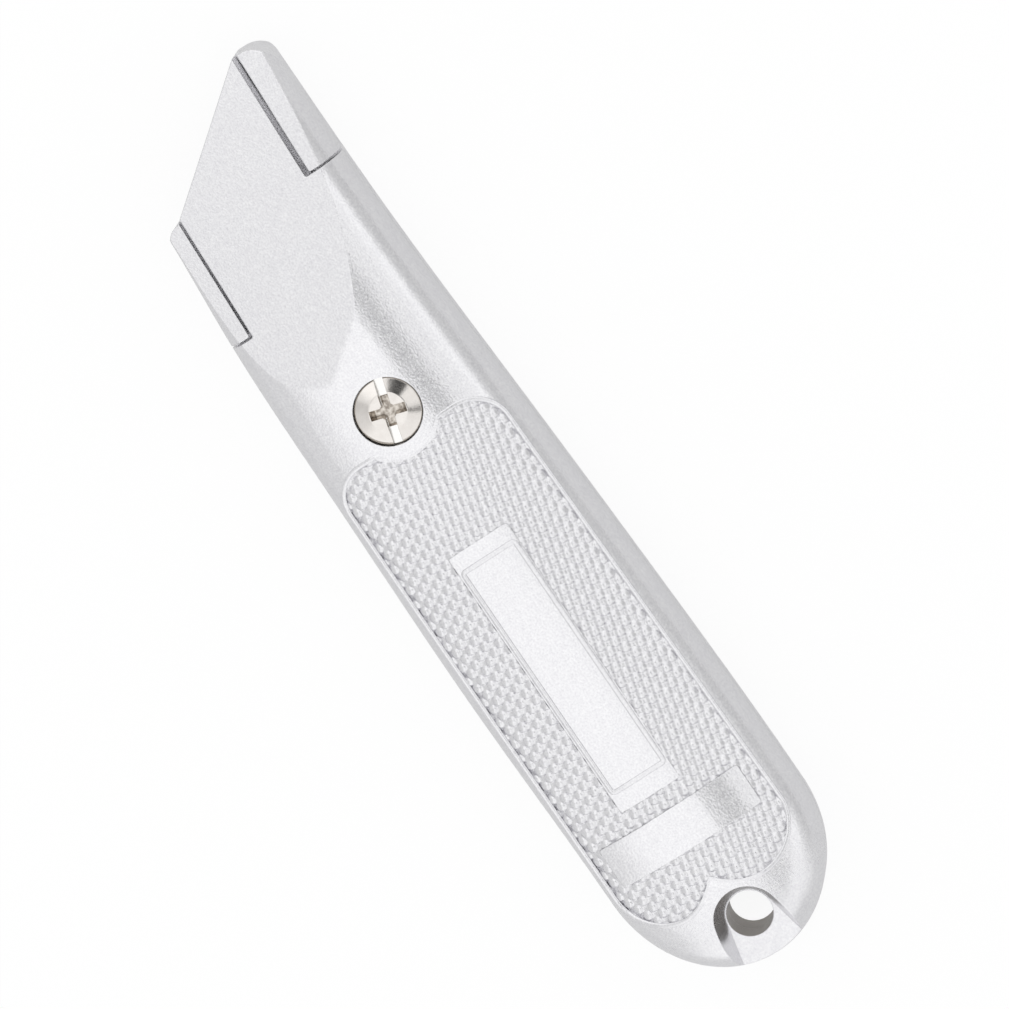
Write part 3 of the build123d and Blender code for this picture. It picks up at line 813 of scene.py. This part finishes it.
# The world is a white tent. Reflections see its light fall off towards the sides, and the dark
# camera over the handle. All of it is a function of the direction alone.
PICTURE_RIGHT = Vector((0.560, 0.829, 0.0))  # level directions along the picture's sides
PICTURE_UP = Vector((-0.838, 0.546, 0.0))
UP_RIGHT = PICTURE_RIGHT + PICTURE_UP
UP_LEFT = PICTURE_UP - PICTURE_RIGHT
TENT_LEFT = 0.82  # the tent's radiance at the picture's lower left
TENT_CHANGES = (  # towards, where the change starts and ends, and its size
    (0.98 * PICTURE_RIGHT + 0.19 * PICTURE_UP, -0.57, -0.41, 0.36),
    (PICTURE_RIGHT, 0.00, 0.40, -0.12),
    (0.894 * PICTURE_RIGHT + 0.447 * PICTURE_UP, 0.72, 0.96, -0.40),
)
TENT_PATCHES = (  # towards, full within and gone past these degrees, and the change
    (Vector((0.951, 0.336, 0.0)), 5, 28, -0.35),  # past the tail
    (Vector((-0.15, -0.38, 0.91)), 3, 13, -0.22),  # what the nose's facet shows
)
CAMERA_SHAPE = (  # the dark camera and its arm: two edges towards UP_RIGHT, then two towards UP_LEFT
    (0.075, 0.180, -0.42, 0.28),
    (0.150, 0.300, -0.04, 0.28),
)
CAMERA_DARK = 0.96
ACROSS_EDGE, LENGTH_EDGE = 0.03, 0.06  # how soft its edges are
AMBIENT = 0.75  # what diffuse surfaces get from the tent

world = bpy.data.worlds.new("studio")
scene.world = world
n = Nodes(world, "OutputWorld")
looking = n.add("TexCoord").outputs["Generated"]
rays = n.add("LightPath").outputs


def towards_share(axis, low, high):
    """0 where a direction's share along the axis is low, and 1 where it is high."""
    return n.ramp(n.vector("DOT_PRODUCT", looking, axis.normalized()), low, high, smooth=True)


def softly_between(axis, low, high, edge):
    """1 where a direction's share along the axis lies between low and high."""
    return n.maths("MULTIPLY", towards_share(axis, low, low + edge), towards_share(axis, high, high - edge))


reflected = TENT_LEFT
for axis, low, high, change in TENT_CHANGES:
    reflected = n.maths("ADD", reflected, n.maths("MULTIPLY", towards_share(axis, low, high), change))
for axis, full, gone, change in TENT_PATCHES:
    patch = towards_share(axis, cos(radians(gone)), cos(radians(full)))
    reflected = n.maths("ADD", reflected, n.maths("MULTIPLY", patch, change))
dark = 0.0
for low, high, left, right_end in CAMERA_SHAPE:
    width = softly_between(UP_RIGHT, low, high, ACROSS_EDGE)
    length = softly_between(UP_LEFT, left, right_end, LENGTH_EDGE)
    dark = n.maths("MAXIMUM", dark, n.maths("MULTIPLY", width, length))
dark = n.maths("MULTIPLY", dark, CAMERA_DARK)
reflected = n.maths("MULTIPLY", reflected, n.maths("SUBTRACT", 1.0, dark))
glossy = rays["Is Glossy Ray"]
shown = n.maths("MAXIMUM", rays["Is Camera Ray"], rays["Is Transmission Ray"])
ambient = n.maths("MULTIPLY", n.maths("SUBTRACT", 1.0, glossy), AMBIENT)
lit = n.maths("ADD", n.maths("MULTIPLY", glossy, reflected), ambient)
unseen = n.maths("MULTIPLY", n.maths("SUBTRACT", 1.0, shown), lit)
background = n.add("Background")
background.inputs["Color"].default_value = (1.0, 1.0, 1.0, 1.0)
n.link(n.maths("ADD", shown, unseen), background.inputs["Strength"])
n.surface(background)

# ---- floor ----
FLOOR_SIZE = 6.0  # metres
FLOOR_GAP = 0.05 * MM  # the part's lowest faces are not in the floor's own plane
PAPER_GLOW = 1.05
PAPER_DARK, PAPER_LIGHT = (0.90, 0.90, 0.90, 1.0), (0.93, 0.93, 0.93, 1.0)
GLOW_SEEN, GLOW_REFLECTED = 0.85, 0.20  # shares of the glow, for camera and for glossy rays


def floor_material():
    """White paper: its own white where the camera or a reflection sees it, keeping a faint shadow."""
    n = material_nodes("floor_paper")
    paper = n.add("BsdfDiffuse")
    n.link(n.mix(n.noise(40.0), PAPER_DARK, PAPER_LIGHT), paper.inputs["Color"])
    glow = n.add("Emission")
    glow.inputs["Color"].default_value = (1.0, 1.0, 1.0, 1.0)
    glow.inputs["Strength"].default_value = PAPER_GLOW
    rays = n.add("LightPath").outputs
    seen = n.maths("MAXIMUM", rays["Is Camera Ray"], rays["Is Transmission Ray"])
    reflected = n.maths("MULTIPLY", rays["Is Glossy Ray"], GLOW_REFLECTED)
    blend = n.add("MixShader")
    n.link(n.maths("ADD", n.maths("MULTIPLY", seen, GLOW_SEEN), reflected), blend.inputs[0])
    n.link(paper.outputs[0], blend.inputs[1])
    n.link(glow.outputs[0], blend.inputs[2])
    return n.surface(blend)


half = FLOOR_SIZE / 2
corners = [(-half, -half, 0), (half, -half, 0), (half, half, 0), (-half, half, 0)]
floor_mesh = bpy.data.meshes.new("floor")
floor_mesh.from_pydata(corners, [], [(0, 1, 2, 3)])
floor_mesh.materials.append(floor_material())
floor_plane = bpy.data.objects.new("floor", floor_mesh)
floor_plane.location.z = cad_low.z - FLOOR_GAP
scene.collection.objects.link(floor_plane)
